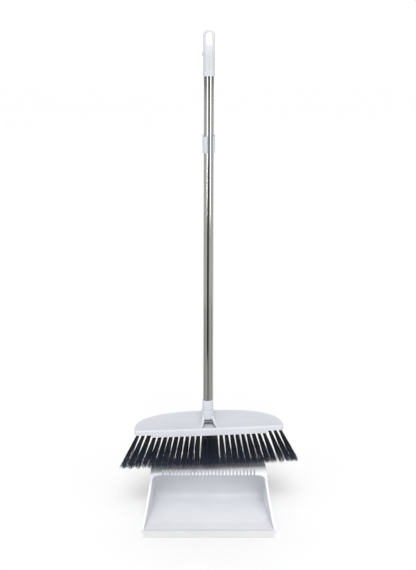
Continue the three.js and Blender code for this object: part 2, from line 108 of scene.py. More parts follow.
# Moulded polypropylene: a faint cloudiness in the colour, uneven gloss and a fine spark-eroded grain.
def mouldedPlastic(name, colour, gloss, grain, grainSize):
    material, tree, shader = blankMaterial(name)
    cloud = objectNoise(tree, 14, detail=4)
    paler = tuple(c * 1.03 for c in colour)
    duller = tuple(c * 0.965 for c in colour)
    tree.links.new(ramp(tree, cloud, [(0.3, duller), (0.7, paler)]), shader.inputs["Base Color"])
    smear = objectNoise(tree, 55, detail=5)
    tree.links.new(
        ramp(tree, smear, [(0.3, grey(gloss - 0.05)), (0.75, grey(gloss + 0.08))]),
        shader.inputs["Roughness"],
    )
    shader.inputs["Specular IOR Level"].default_value = 0.42
    shader.inputs["Subsurface Weight"].default_value = 0.06
    shader.inputs["Subsurface Radius"].default_value = (0.004, 0.004, 0.0045)
    shader.inputs["Subsurface Scale"].default_value = 1.0
    bump = addNode(tree, "ShaderNodeBump")
    bump.inputs["Strength"].default_value = grain
    bump.inputs["Distance"].default_value = 0.0003
    tree.links.new(objectNoise(tree, grainSize, detail=2), bump.inputs["Height"])
    tree.links.new(bump.outputs["Normal"], shader.inputs["Normal"])
    return material


# Polished stainless tube, with fine drawing lines along its length.
def drawnSteel(name, colour, roughness, lines):
    material, tree, shader = blankMaterial(name)
    shader.inputs["Metallic"].default_value = 1
    streaks = objectNoise(tree, 1, stretch=(lines, lines, lines * 0.012), detail=4)
    bright = tuple(c * 1.06 for c in colour)
    dim = tuple(c * 0.93 for c in colour)
    tree.links.new(ramp(tree, streaks, [(0.3, dim), (0.7, bright)]), shader.inputs["Base Color"])
    tree.links.new(
        ramp(tree, streaks, [(0.25, grey(roughness - 0.03)), (0.8, grey(roughness + 0.06))]),
        shader.inputs["Roughness"],
    )
    bump = addNode(tree, "ShaderNodeBump")
    bump.inputs["Strength"].default_value = 0.04
    bump.inputs["Distance"].default_value = 0.0001
    tree.links.new(streaks, bump.inputs["Height"])
    tree.links.new(bump.outputs["Normal"], shader.inputs["Normal"])
    return material


# Dyed filament: nearly black blue at the root and lighter towards the tips, each one a little different.
def dyedFilament(name, root, middle, tip):
    material, tree, shader = blankMaterial(name)
    along = addNode(tree, "ShaderNodeAttribute", attribute_name="along")
    shade = addNode(tree, "ShaderNodeAttribute", attribute_name="shade")
    colour = ramp(tree, along.outputs["Fac"], [(0.0, root), (0.55, middle), (1.0, tip)])
    mix = addNode(tree, "ShaderNodeMix", data_type="RGBA", blend_type="MULTIPLY")
    mix.inputs["Factor"].default_value = 1
    tree.links.new(colour, mix.inputs["A"])
    tree.links.new(
        ramp(tree, shade.outputs["Fac"], [(0.0, grey(0.62)), (1.0, grey(1.35))]), mix.inputs["B"]
    )
    tree.links.new(mix.outputs["Result"], shader.inputs["Base Color"])
    shader.inputs["Roughness"].default_value = 0.42
    shader.inputs["Specular IOR Level"].default_value = 0.45
    return material


plastics = {
    "whiteBody": dict(colour=(0.625, 0.640, 0.685), gloss=0.36, grain=0.10, grainSize=1900),
    "whitePan": dict(colour=(0.79, 0.80, 0.835), gloss=0.34, grain=0.08, grainSize=1900),
    "whiteGrip": dict(colour=(0.665, 0.67, 0.71), gloss=0.36, grain=0.06, grainSize=2200),
    # The grey of the strip in the lip groove is painted shade for the groove's shadow line.
    "grooveShadePaint": dict(colour=(0.36, 0.37, 0.38), gloss=0.6, grain=0.1, grainSize=1500),
    "softLip": dict(colour=(0.70, 0.70, 0.70), gloss=0.55, grain=0.16, grainSize=1500),
}
whiteBody = mouldedPlastic("whiteBody", **plastics["whiteBody"])
whitePan = mouldedPlastic("whitePan", **plastics["whitePan"])
whiteGrip = mouldedPlastic("whiteGrip", **plastics["whiteGrip"])
softLip = mouldedPlastic("softLip", **plastics["softLip"])
# Painted shade: the dark strip that stands in for the shadow in the groove between the lip and the pan's
# floor.
grooveShadePaint = mouldedPlastic("grooveShadePaint", **plastics["grooveShadePaint"])
metals = {
    "tubeSteel": dict(colour=(0.355, 0.36, 0.35), roughness=0.10, lines=900),
    "pinSteel": dict(colour=(0.5, 0.51, 0.53), roughness=0.3, lines=1400),
}
tubeSteel = drawnSteel("tubeSteel", **metals["tubeSteel"])
pinSteel = drawnSteel("pinSteel", **metals["pinSteel"])
dye = {"root": (0.005, 0.007, 0.014), "middle": (0.010, 0.015, 0.032), "tip": (0.032, 0.046, 0.082)}
bristleDye = dyedFilament("bristleDye", **dye)
print("materials made")


def smoothByAngle(mesh, degrees):
    mesh.shade_smooth()
    mesh.set_sharp_from_angle(angle=math.radians(degrees))


def addPiece(name, mesh, material, body, stands=()):
    piece = bpy.data.objects.new(name, mesh)
    bpy.context.collection.objects.link(piece)
    mesh.materials.clear()
    mesh.materials.append(material)
    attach(piece, body)
    if stands:
        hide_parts(*stands)
    return piece


def meshFrom(bm, name, place=None, sharp=40):
    if place is not None:
        bm.transform(place)
    bmesh.ops.recalc_face_normals(bm, faces=bm.faces)
    mesh = bpy.data.meshes.new(name)
    bm.to_mesh(mesh)
    bm.free()
    smoothByAngle(mesh, sharp)
    return mesh


# The outline of a straight rod or tube, with a small chamfer at both ends.
def rodProfile(radius, low, high, edge=0.4):
    return [
        (0, low), (radius - edge, low), (radius, low + edge),
        (radius, high - edge), (radius - edge, high), (0, high),
    ]


# A closed solid of revolution from (radius, z) pairs in millimetres, which start and end on the axis.
def turnedMesh(name, profile, place, sides=96, sharp=35):
    bm = bmesh.new()
    rings = []
    for r, z in profile:
        if r == 0:
            rings.append([bm.verts.new((0, 0, z * mm))])
            continue
        turns = [2 * math.pi * i / sides for i in range(sides)]
        rings.append([bm.verts.new((r * mm * math.cos(a), r * mm * math.sin(a), z * mm)) for a in turns])
    for low, high in zip(rings, rings[1:]):
        skinRings(bm, low, high)
    return meshFrom(bm, name, place, sharp)


def skinRings(bm, low, high):
    count = max(len(low), len(high))
    for i in range(count):
        j = (i + 1) % count
        if len(low) == 1:
            bm.faces.new((low[0], high[j], high[i]))
        elif len(high) == 1:
            bm.faces.new((low[i], low[j], high[0]))
        else:
            bm.faces.new((low[i], low[j], high[j], high[i]))


# A copy of a faceted node with its flats rebuilt and its edges rounded like a moulding's.
# A radius of 0 leaves the edges as they are.
def roundedCopy(node, radius, material, body, segments=3, angle=28):
    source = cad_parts[node].data
    bm = bmesh.new()
    bm.from_mesh(source)
    bmesh.ops.remove_doubles(bm, verts=bm.verts, dist=0.00002)
    bmesh.ops.dissolve_limit(
        bm, angle_limit=math.radians(0.6), verts=bm.verts, edges=bm.edges, delimit={"NORMAL"}
    )
    mesh = meshFrom(bm, node + "Moulding", sharp=angle)
    piece = addPiece(node + "Moulding", mesh, material, body, (node,))
    if radius == 0:
        return piece
    bevel = piece.modifiers.new("edges", "BEVEL")
    bevel.width = radius * mm
    bevel.segments = segments
    bevel.limit_method = "ANGLE"
    bevel.angle_limit = math.radians(angle)
    bevel.use_clamp_overlap = True
    bevel.harden_normals = True
    return piece


# Skins a stack of closed rings, given in millimetres, and closes both ends.
def loftedMesh(name, rings, place=None, sharp=180):
    bm = bmesh.new()
    loops = [[bm.verts.new(Vector(point) * mm) for point in ring] for ring in rings]
    for low, high in zip(loops, loops[1:]):
        skinRings(bm, low, high)
    bm.faces.new(loops[0])
    bm.faces.new(loops[-1])
    return meshFrom(bm, name, place, sharp)


# Fuses overlapping solids, cuts others out of them, and softens every edge as a moulding's are.
def softUnion(name, solids, cutters, voxel, rounds, place):
    bm = bmesh.new()
    for mesh in solids:
        bm.from_mesh(mesh)
    joined = meshFrom(bm, name + "Raw")
    blank = bpy.data.objects.new(name + "Raw", joined)
    bpy.context.collection.objects.link(blank)
    helpers = [blank]
    fuse = blank.modifiers.new("fuse", "REMESH")
    fuse.mode = "VOXEL"
    fuse.voxel_size = voxel * mm
    for number, mesh in enumerate(cutters):
        helper = bpy.data.objects.new(f"{name}Cutter{number}", mesh)
        bpy.context.collection.objects.link(helper)
        helpers.append(helper)
        cut = blank.modifiers.new("cut", "BOOLEAN")
        cut.operation = "DIFFERENCE"
        cut.solver = "EXACT"
        cut.object = helper
    again = blank.modifiers.new("again", "REMESH")
    again.mode = "VOXEL"
    again.voxel_size = voxel * mm
    soften = blank.modifiers.new("soften", "SMOOTH")
    soften.factor = 0.5
    soften.iterations = rounds
    mesh = plainMesh(blank, name)
    for helper in helpers:
        bpy.data.objects.remove(helper)
    mesh.transform(place)
    mesh.shade_smooth()
    return mesh


# What the object's modifiers make of it, as a mesh of its own.
def plainMesh(blank, name):
    view = bpy.context.evaluated_depsgraph_get()
    mesh = bpy.data.meshes.new_from_object(blank.evaluated_get(view))
    mesh.name = name
    return mesh


def finishNode(node, material):
    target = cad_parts[node]
    target.data.materials.clear()
    target.data.materials.append(material)


# How far each edge of the pan is rounded. The hood's comb is too fine for a bevel.
panEdges = {"pan_base": 0.8, "pan_hood": 0, "lip_strip": 0.35}
roundedCopy("pan_base", panEdges["pan_base"], whitePan, "pan")
roundedCopy("pan_hood", panEdges["pan_hood"], whitePan, "pan")
roundedCopy("lip_strip", panEdges["lip_strip"], softLip, "pan")

# A grey strip in the groove between the lip and the floor of the pan: painted shade that stands in for
# the groove's shadow line.
lipGrooveShade = {"half": 134, "y": (-81.9, -80.2), "z": (2.6, 6.2)}


def grooveShadeMesh():
    (y0, y1), (z0, z1) = lipGrooveShade["y"], lipGrooveShade["z"]
    section = [(y0, z0), (y1, z0), (y1, z1 - 0.1), (y1 - 0.3, z1), (y0 + 0.3, z1), (y0, z1 - 0.1)]
    rings = [[(x, y, z) for y, z in section] for x in (-lipGrooveShade["half"], lipGrooveShade["half"])]
    return loftedMesh("lipGrooveShade", rings, None, 30)


addPiece("lipGrooveShade", grooveShadeMesh(), grooveShadePaint, "pan")
for node in ("hinge_pin", "hinge_pin_cap"):
    finishNode(node, pinSteel)
print("pan made")


# The tube's ends are measured along it from the hinge.
panPole = {"radius": 10, "low": 24.3, "high": math.hypot(*clipFromHinge) + 14}
addPiece(
    "panPoleTube", turnedMesh("panPoleTube", rodProfile(**panPole), handleFrame),
    tubeSteel, "pan_handle", ("pan_pole",),
)
handleEdges = {"handle_socket": 0.6, "broom_clip": 0.5}
for node, radius in handleEdges.items():
    roundedCopy(node, radius, whiteBody, "pan_handle")
for node in ("socket_screw", "clip_screw"):
    finishNode(node, pinSteel)
for node in ("pan_pole_plug", "pan_pole_top_plug"):
    finishNode(node, whiteBody)
print("handle made")


# Heights along the broom's pole are given above the floor; its own frame starts at the clip.
def poleZ(z):
    return z - clipHeight


broomPole = {"radius": 10, "low": poleZ(225.8), "high": poleZ(961.7)}
addPiece(
    "broomPoleTube", turnedMesh("broomPoleTube", rodProfile(**broomPole), poleFrame),
    tubeSteel, "broom", ("broom_pole",),
)
collar = {
    "radius": 11.7, "bottom": 221.4, "top": 242.8, "threadRadius": 8.6, "threadEnd": 198,
    "groove": 0.35, "grooveZ": 226.5, "mouth": 10.35,
}


def collarProfile():
    r, low, top = collar["radius"], collar["bottom"], collar["top"]
    thread, end = collar["threadRadius"], collar["threadEnd"]
    waist, z, mouth = r - collar["groove"], collar["grooveZ"], collar["mouth"]
    outline = [
        (0, end), (thread - 0.4, end), (thread, end + 0.4), (thread, low),
        (r - 0.5, low), (r, low + 0.5), (r, z - 0.5), (waist, z), (waist, z + 0.8), (r, z + 1.3),
        (r - 0.1, top - 1.9), (r - 0.45, top - 0.6), (r - 1.0, top),
        (mouth, top), (mouth - 0.05, top - 0.8), (0, top - 0.8),
    ]
    return [(radius, poleZ(height)) for radius, height in outline]


addPiece(
    "poleCollar", turnedMesh("poleCollar", collarProfile(), poleFrame),
    whiteBody, "broom", ("pole_ferrule",),
)


# The grip is round on the tube and flattens into the hanging loop above it.
grip = {
    "radius": 11.6, "bottom": 916.4, "top": 1005.5, "ringRadius": 12.15, "ringTop": 922.8,
    "flatDepth": 6.2, "holeHalf": 6.2, "holeBottom": 975.3, "holeTop": 1000.4,
    "bore": 10.3, "boreTop": 962, "tabZ": 958.5, "tabOut": 1.9,
    "tab": [(0, -3.4), (3.6, -3.0), (4.7, -1.6), (4.7, 1.6), (3.6, 3.0), (0, 3.4)],
    "voxel": 0.5, "rounds": 5,
}


# A ring of the superellipse whose power makes it round at 2 and squarer above that.
def oval(halfWidth, halfDepth, power, z, sides=64):
    ring = []
    for i in range(sides):
        a = 2 * math.pi * i / sides
        c, s = math.cos(a), math.sin(a)
        x = math.copysign(abs(c) ** (2 / power), c) * halfWidth
        y = math.copysign(abs(s) ** (2 / power), s) * halfDepth
        ring.append((x, y, z))
    return ring


# The stack holds height, half width, half depth and power; the loop's end is a rounded dome.
def gripRings():
    r, ring = grip["radius"], grip["ringRadius"]
    flat, top = grip["flatDepth"], grip["top"]
    stack = [
        (grip["bottom"], ring - 0.5, ring - 0.5, 2), (grip["bottom"] + 0.5, ring, ring, 2),
        (grip["ringTop"], ring, ring, 2), (grip["ringTop"] + 0.8, r - 0.1, r - 0.1, 2),
        (945, r, r, 2), (958, r, r, 2), (964, r, r - 0.8, 2.1), (970, r, r - 2.6, 2.3),
        (976, r, flat + 0.9, 2.6), (984, r, flat, 2.8),
    ]
    arcZ = top - r
    for step in range(13):
        a = math.pi / 2 * step / 12.5  # stops short of the dome's top, where a ring has no width
        stack.append((arcZ + r * math.sin(a), r * math.cos(a), flat * math.cos(a) ** 0.45, 2.8))
    return [oval(w, d, power, poleZ(z)) for z, w, d, power in stack]


# A bar with an arched end, as the hole of the hanging loop.
def archPrism(name, half, low, high, reach):
    profile = [(-half, low), (half, low)]
    for step in range(13):
        a = math.pi * step / 12
        profile.append((half * math.cos(a), high - half + half * math.sin(a)))
    rings = [[(x, y, poleZ(z)) for x, z in profile] for y in (-reach, reach)]
    return loftedMesh(name, rings)


def rodMesh(name, radius, low, high, place=None, sides=64):
    return turnedMesh(name, [(0, low), (radius, low), (radius, high), (0, high)], place, sides)


def gripMesh():
    body = loftedMesh("gripBody", gripRings())
    turn = Matrix.Translation(Vector((grip["tabOut"] - grip["radius"], 0, poleZ(grip["tabZ"]))) * mm)
    tab = turnedMesh("gripTab", grip["tab"], turn @ Matrix.Rotation(math.radians(90), 4, "X"), 32)
    hole = archPrism("gripHole", grip["holeHalf"], grip["holeBottom"], grip["holeTop"], 20)
    bore = rodMesh("gripBore", grip["bore"], poleZ(grip["bottom"]) - 5, poleZ(grip["boreTop"]))
    return softUnion(
        "gripMoulding", [body, tab], [hole, bore], grip["voxel"], grip["rounds"], poleFrame
    )


addPiece("gripMoulding", gripMesh(), whiteGrip, "broom", ("grip",))
for node in ("broom_pole_plug", "grip_plug"):
    finishNode(node, whiteBody)
print("broom handle made")


# Heights of the head are given above the floor; its own frame starts at the thread.
def coverZ(z):
    return z - threadHeight


cover = {
    "halfLength": 157.5, "depth": 92, "corner": 8, "bow": 1.8, "power": 2.5,
    "skirtBottom": 179.2, "frontTop": 194.5, "backTop": 200.5, "wall": 2.5,
    "endStep": 5, "stepX": 122, "frontRound": 3.4, "edgeRound": 3.0, "dish": 0.7, "rimWidth": 6.0,
    "frontSteps": 36, "backSteps": 60, "cornerSteps": 9, "stepGap": 0.15,
}


def coverTop(y):
    rise = (cover["backTop"] - cover["frontTop"]) / cover["depth"]
    return coverZ(cover["frontTop"]) + rise * (y + cover["depth"] / 2)


# Places along the front edge and round the back, with a close pair where the skirt steps up.
def coverStations():
    straight = cover["halfLength"] - cover["corner"]
    edges = [cover["stepX"] - cover["stepGap"], cover["stepX"] + cover["stepGap"]]
    frontSteps, backSteps = cover["frontSteps"], cover["backSteps"]
    front = sorted([i / frontSteps for i in range(frontSteps)] + [x / straight for x in edges])
    turns = [math.acos((x / cover["halfLength"]) ** (cover["power"] / 2)) for x in edges]
    back = sorted([math.pi / 2 * i / backSteps for i in range(backSteps)] + turns)
    return front, back


# The outline of the head from above, moved in by one amount at the front and another elsewhere.
def coverPlan(inFront, inBack):
    frontShares, backTurns = coverStations()
    a = cover["halfLength"] - inBack
    corner = max(cover["corner"] - (inFront + inBack) / 2, 2.5)
    front = inFront - cover["depth"] / 2
    back = cover["depth"] / 2 - inBack
    shoulder = front + cover["bow"] + corner
    right = [((a - corner) * t, front + cover["bow"] * t * t) for t in frontShares]
    for i in range(cover["cornerSteps"]):
        t = math.pi / 2 * (i / cover["cornerSteps"] - 1)
        right.append((a - corner + corner * math.cos(t), shoulder + corner * math.sin(t)))
    bulge = 2 / cover["power"]
    for t in backTurns:
        right.append((a * math.cos(t) ** bulge, shoulder + (back - shoulder) * math.sin(t) ** bulge))
    right.append((0, back))
    return right + [(-x, y) for x, y in reversed(right[1:-1])]


def coverMesh():
    low = [
        coverZ(cover["skirtBottom"]) + (cover["endStep"] if abs(x) > cover["stepX"] else 0)
        for x, _ in coverPlan(0, 0)
    ]
    frontRound, edgeRound = cover["frontRound"], cover["edgeRound"]

    def skirtRing(inset, lift):
        return [(x, y, z + lift) for (x, y), z in zip(coverPlan(inset, inset), low)]

    def topRing(share, frontDrop, backDrop, extra=0.0):
        made = []
        for x, y in coverPlan(frontRound * share + extra, edgeRound * share + extra):
            near = min(1, max(0, (y + cover["depth"] / 2 - 8) / 14))  # 0 at the front edge, 1 behind it
            made.append((x, y, coverTop(y) - frontDrop * (1 - near) - backDrop * near))
        return made

    wall = cover["wall"]
    ceiling = [(x, y, coverTop(y) - wall - cover["dish"]) for x, y in coverPlan(wall, wall)]
    rings = [ceiling, skirtRing(wall, 0), skirtRing(0.5, 0), skirtRing(0.12, 0.15), skirtRing(0, 0.5)]
    for step in range(9):
        a = math.pi / 2 * step / 8
        drop = 1 - math.sin(a)
        rings.append(topRing(1 - math.cos(a), frontRound * drop, edgeRound * drop))
    for share, sink in ((0.3, 0), (0.5, 0.15), (0.7, 0.5), (0.85, 0.85), (1, 1)):
        sunk = sink * cover["dish"]
        rings.append(topRing(1, sunk, sunk, share * cover["rimWidth"]))
    return loftedMesh("headCoverMoulding", rings, headFrame, 42)


# The threaded neck stands on the cover, with two legs that run down to the front rim like an A.
neckShape = {
    "profile": [
        (0, 191), (15, 191), (15, 196), (18.6, 197.2), (16.4, 198.8), (14.9, 201.5), (14.3, 206),
        (13.8, 211), (13.4, 216), (13.0, 219.4), (12.5, 220.7), (12.0, 221), (0, 221),
    ],
    "bore": 9.4,
    "legFrom": (8.6, -7.0), "legTo": (19.0, -42.0), "legHalf": (2.6, 3.6),
    "legTop": (210.5, 195.4), "legBottom": 193.2, "legDroop": 1.7,
    "pocket": [(-8.8, 202.0), (8.8, 202.0), (11.5, 189.6), (-11.5, 189.6)], "pocketY": (-60, -7.5),
    "recess": [(-15.2, -41.0), (15.2, -41.0), (8.6, -8.0), (-8.6, -8.0)], "recessZ": (189.6, 208),
    "voxel": 0.55, "rounds": 6,
}


def legMesh(side):
    shape = neckShape
    (x0, y0), (x1, y1) = shape["legFrom"], shape["legTo"]
    across = Vector((y0 - y1, x1 - x0, 0)).normalized()
    (startHalf, endHalf), (startTop, endTop) = shape["legHalf"], shape["legTop"]
    low = shape["legBottom"]
    rings = []
    for step in range(9):
        t = step / 8
        middle = Vector((x0 + (x1 - x0) * t, y0 + (y1 - y0) * t, 0))
        half = startHalf + (endHalf - startHalf) * t
        high = endTop + (startTop - endTop) * (1 - t) ** shape["legDroop"]
        corners = [
            (-half, low), (half, low), (half, high - 0.8),
            (half * 0.5, high), (-half * 0.5, high), (-half, high - 0.8),
        ]
        ring = [middle + across * w + Vector((0, 0, coverZ(z))) for w, z in corners]
        rings.append([(side * p.x, p.y, p.z) for p in ring])
    return loftedMesh("neckLeg", rings)


# Cuts one solid out of a finished mesh.
def cutMesh(mesh, cutter):
    blank = bpy.data.objects.new(mesh.name + "Blank", mesh)
    knife = bpy.data.objects.new(mesh.name + "Knife", cutter)
    for helper in (blank, knife):
        bpy.context.collection.objects.link(helper)
    cut = blank.modifiers.new("cut", "BOOLEAN")
    cut.operation = "DIFFERENCE"
    cut.solver = "EXACT"
    cut.object = knife
    made = plainMesh(blank, mesh.name)
    for helper in (blank, knife):
        bpy.data.objects.remove(helper)
    smoothByAngle(made, 42)
    return made


def neckMesh():
    shape = neckShape
    body = turnedMesh("neckBody", [(r, coverZ(z)) for r, z in shape["profile"]], None)
    pocket = loftedMesh(
        "neckPocket", [[(x, y, coverZ(z)) for x, z in shape["pocket"]] for y in shape["pocketY"]]
    )
    bore = rodMesh("neckBore", shape["bore"], coverZ(180), coverZ(230))
    return softUnion(
        "neckMoulding", [body, legMesh(1), legMesh(-1)], [pocket, bore],
        shape["voxel"], shape["rounds"], headFrame,
    )


recess = loftedMesh(
    "neckRecess",
    [[(x, y, coverZ(z)) for x, y in neckShape["recess"]] for z in neckShape["recessZ"]], headFrame,
)
addPiece(
    "headCoverMoulding", cutMesh(coverMesh(), recess),
    whiteBody, "broom", ("head_cover",),
)
addPiece("neckMoulding", neckMesh(), whiteBody, "broom", ("head_cover",))
finishNode("tuft_block", whiteBody)
for number in range(1, 5):
    finishNode(f"cover_screw_{number}", pinSteel)
print("head made")


# Rows of tufts. Every tuft is a bundle of filaments that leaves one hole and spreads towards its tips.
bristles = {
    "rows": [-39.4, -22.6, -5.8, 11, 27.8],
    "counts": [28, 26, 26, 22, 18],
    "filaments": [150, 90, 90, 80, 90],
    "pitch": 11.4, "centrePitch": 8.4, "skew": 0.087, "fan": -0.0008,
    "holeRadius": [3.2, 2.7, 2.7, 2.7, 2.7], "filamentRadius": 0.27,
    "tip": 109.5, "wornEnds": 2.5, "endX": 153,
    "sideLean": 26, "depthLean": [-2.5, -1.2, 0, 1.5, 3],
    "flare": [0.058, 0.035, 0.035, 0.035, 0.04], "stray": [0.02, 0.012, 0.012, 0.012, 0.015],
    "bow": 1.8, "ragged": 0.10, "tipShare": 0.6, "seed": 40, "rootGap": 0.4,
}


def tuftPlaces(row):
    half = bristles["counts"][row] // 2
    pitch, near = bristles["pitch"], bristles["centrePitch"]
    right = [near * (i + 0.5) if i < 2 else near * 1.5 + pitch * (i - 1) for i in range(half)]
    depth = bristles["rows"][row] - bristles["rows"][0]
    places = [-x for x in reversed(right)] + right
    return [x * (1 + bristles["fan"] * depth) + bristles["skew"] * depth for x in places]


# One point for each tuft, at its hole, with the way it leans and how long it is.
def tuftPoints(row):
    mesh = bpy.data.meshes.new(f"tuftPoints{row + 1}")
    turn = headFrame.to_3x3()
    points, leans, reaches = [], [], []
    for x in tuftPlaces(row):
        onStep = abs(x) - bristles["holeRadius"][0] > cover["stepX"]
        root = cover["skirtBottom"] + (cover["endStep"] if onStep else 0) + bristles["rootGap"]
        share = x / bristles["endX"]
        tip = bristles["tip"] + bristles["wornEnds"] * abs(share) ** 3
        sideways = math.tan(math.radians(bristles["sideLean"] * share))
        backwards = math.tan(math.radians(bristles["depthLean"][row]))
        lean = Vector((sideways, backwards, -1))
        points.append(headFrame @ (Vector((x, bristles["rows"][row], coverZ(root))) * mm))
        leans.append(turn @ lean.normalized())
        reaches.append((root - tip) * lean.length * mm)
    mesh.from_pydata(points, [], [])
    mesh.attributes.new("lean", "FLOAT_VECTOR", "POINT")
    mesh.attributes.new("reach", "FLOAT", "POINT")
    for i, (lean, reach) in enumerate(zip(leans, reaches)):
        mesh.attributes["lean"].data[i].vector = lean
        mesh.attributes["reach"].data[i].value = reach
    return mesh


def wire(tree, *pairs):
    for source, target in pairs:
        tree.links.new(source, target)


def maths(tree, operation, *inputs):
    node = addNode(tree, "ShaderNodeMath", operation=operation)
    for socket, value in zip(node.inputs, inputs):
        if isinstance(value, (int, float)):
            socket.default_value = value
        else:
            tree.links.new(value, socket)
    return node.outputs[0]


def vectorMaths(tree, operation, *inputs):
    node = addNode(tree, "ShaderNodeVectorMath", operation=operation)
    sockets = [socket for socket in node.inputs if socket.enabled]
    for socket, value in zip(sockets, inputs):
        tree.links.new(value, socket)
    return next(socket for socket in node.outputs if socket.enabled)


def randomValue(tree, seed, offset, low, high, kind="FLOAT"):
    node = addNode(tree, "FunctionNodeRandomValue", data_type=kind)
    enabled = {socket.name: socket for socket in node.inputs if socket.enabled}
    for name, value in (("Min", low), ("Max", high)):
        if isinstance(value, (int, float, tuple)):
            enabled[name].default_value = value
        else:
            tree.links.new(value, enabled[name])
    tree.links.new(maths(tree, "ADD", seed, offset), enabled["Seed"])
    return next(socket for socket in node.outputs if socket.enabled)


def namedValue(tree, name, kind):
    node = addNode(tree, "GeometryNodeInputNamedAttribute", data_type=kind)
    node.inputs["Name"].default_value = name
    return next(socket for socket in node.outputs if socket.enabled and socket.name == "Attribute")


def storeValue(tree, geometry, name, value, kind):
    node = addNode(tree, "GeometryNodeStoreNamedAttribute", data_type=kind, domain="POINT")
    node.inputs["Name"].default_value = name
    wire(tree, (geometry, node.inputs["Geometry"]))
    wire(tree, (value, next(s for s in node.inputs if s.enabled and s.name == "Value")))
    return node.outputs["Geometry"]


def tuftTree():
    tree = bpy.data.node_groups.new("tufts", "GeometryNodeTree")
    tree.is_modifier = True
    face = tree.interface
    face.new_socket("Geometry", in_out="INPUT", socket_type="NodeSocketGeometry")
    for name in ("Filaments", "Seed"):
        face.new_socket(name, in_out="INPUT", socket_type="NodeSocketInt")
    for name in ("Hole Radius", "Filament Radius", "Flare", "Stray", "Bow", "Ragged"):
        face.new_socket(name, in_out="INPUT", socket_type="NodeSocketFloat")
    face.new_socket("Geometry", in_out="OUTPUT", socket_type="NodeSocketGeometry")
    given = addNode(tree, "NodeGroupInput").outputs
    seed = given["Seed"]

    copies = addNode(tree, "GeometryNodeDuplicateElements", domain="POINT")
    wire(tree, (given["Geometry"], copies.inputs["Geometry"]))
    wire(tree, (given["Filaments"], copies.inputs["Amount"]))

    turn = randomValue(tree, seed, 1, 0.0, 2 * math.pi)
    out = maths(tree, "SQRT", randomValue(tree, seed, 2, 0.0, 1.0))
    spoke = addNode(tree, "ShaderNodeCombineXYZ")
    wire(tree, (maths(tree, "MULTIPLY", maths(tree, "COSINE", turn), out), spoke.inputs["X"]))
    wire(tree, (maths(tree, "MULTIPLY", maths(tree, "SINE", turn), out), spoke.inputs["Y"]))

    def scaled(vector, factor):
        node = addNode(tree, "ShaderNodeVectorMath", operation="SCALE")
        wire(tree, (vector, node.inputs[0]), (factor, node.inputs["Scale"]))
        return node.outputs[0]

    spread = addNode(tree, "GeometryNodeSetPosition")
    wire(tree, (copies.outputs["Geometry"], spread.inputs["Geometry"]))
    wire(tree, (scaled(spoke.outputs[0], given["Hole Radius"]), spread.inputs["Offset"]))

    stray = scaled(randomValue(tree, seed, 3, (-1, -1, -1), (1, 1, 1), "FLOAT_VECTOR"), given["Stray"])
    lean = namedValue(tree, "lean", "FLOAT_VECTOR")
    way = vectorMaths(tree, "ADD", lean, scaled(spoke.outputs[0], given["Flare"]))
    way = vectorMaths(tree, "ADD", way, stray)
    bow = scaled(randomValue(tree, seed, 4, (-1, -1, 0), (1, 1, 0), "FLOAT_VECTOR"), given["Bow"])
    marked = storeValue(tree, spread.outputs["Geometry"], "bowWay", bow, "FLOAT_VECTOR")
    marked = storeValue(tree, marked, "shade", randomValue(tree, seed, 5, 0.0, 1.0), "FLOAT")

    aim = addNode(tree, "FunctionNodeAlignRotationToVector", axis="Z")
    wire(tree, (way, aim.inputs["Vector"]))
    shortest = maths(tree, "SUBTRACT", 1.0, given["Ragged"])
    length = randomValue(tree, seed, 6, shortest, 1.0)
    reach = maths(tree, "MULTIPLY", namedValue(tree, "reach", "FLOAT"), length)
    size = addNode(tree, "ShaderNodeCombineXYZ")
    size.inputs["X"].default_value = 1
    size.inputs["Y"].default_value = 1
    wire(tree, (reach, size.inputs["Z"]))

    strand = addNode(tree, "GeometryNodeMeshCone", fill_type="NGON")
    strand.inputs["Vertices"].default_value = 3
    strand.inputs["Side Segments"].default_value = 5
    strand.inputs["Depth"].default_value = 1
    thin = maths(tree, "MULTIPLY", given["Filament Radius"], bristles["tipShare"])
    wire(tree, (given["Filament Radius"], strand.inputs["Radius Bottom"]))
    wire(tree, (thin, strand.inputs["Radius Top"]))
    height = addNode(tree, "ShaderNodeSeparateXYZ")
    wire(tree, (addNode(tree, "GeometryNodeInputPosition").outputs[0], height.inputs[0]))
    strandMesh = storeValue(tree, strand.outputs["Mesh"], "along", height.outputs["Z"], "FLOAT")

    plant = addNode(tree, "GeometryNodeInstanceOnPoints")
    wire(tree, (marked, plant.inputs["Points"]), (strandMesh, plant.inputs["Instance"]))
    wire(tree, (aim.outputs["Rotation"], plant.inputs["Rotation"]))
    wire(tree, (size.outputs[0], plant.inputs["Scale"]))
    real = addNode(tree, "GeometryNodeRealizeInstances")
    wire(tree, (plant.outputs["Instances"], real.inputs["Geometry"]))
    bend = addNode(tree, "GeometryNodeSetPosition")
    squared = maths(tree, "POWER", namedValue(tree, "along", "FLOAT"), 2.0)
    wire(tree, (real.outputs["Geometry"], bend.inputs["Geometry"]))
    wire(tree, (scaled(namedValue(tree, "bowWay", "FLOAT_VECTOR"), squared), bend.inputs["Offset"]))
    paint = addNode(tree, "GeometryNodeSetMaterial")
    paint.inputs["Material"].default_value = bristleDye
    wire(tree, (bend.outputs["Geometry"], paint.inputs["Geometry"]))
    wire(tree, (paint.outputs["Geometry"], addNode(tree, "NodeGroupOutput").inputs["Geometry"]))
    return tree


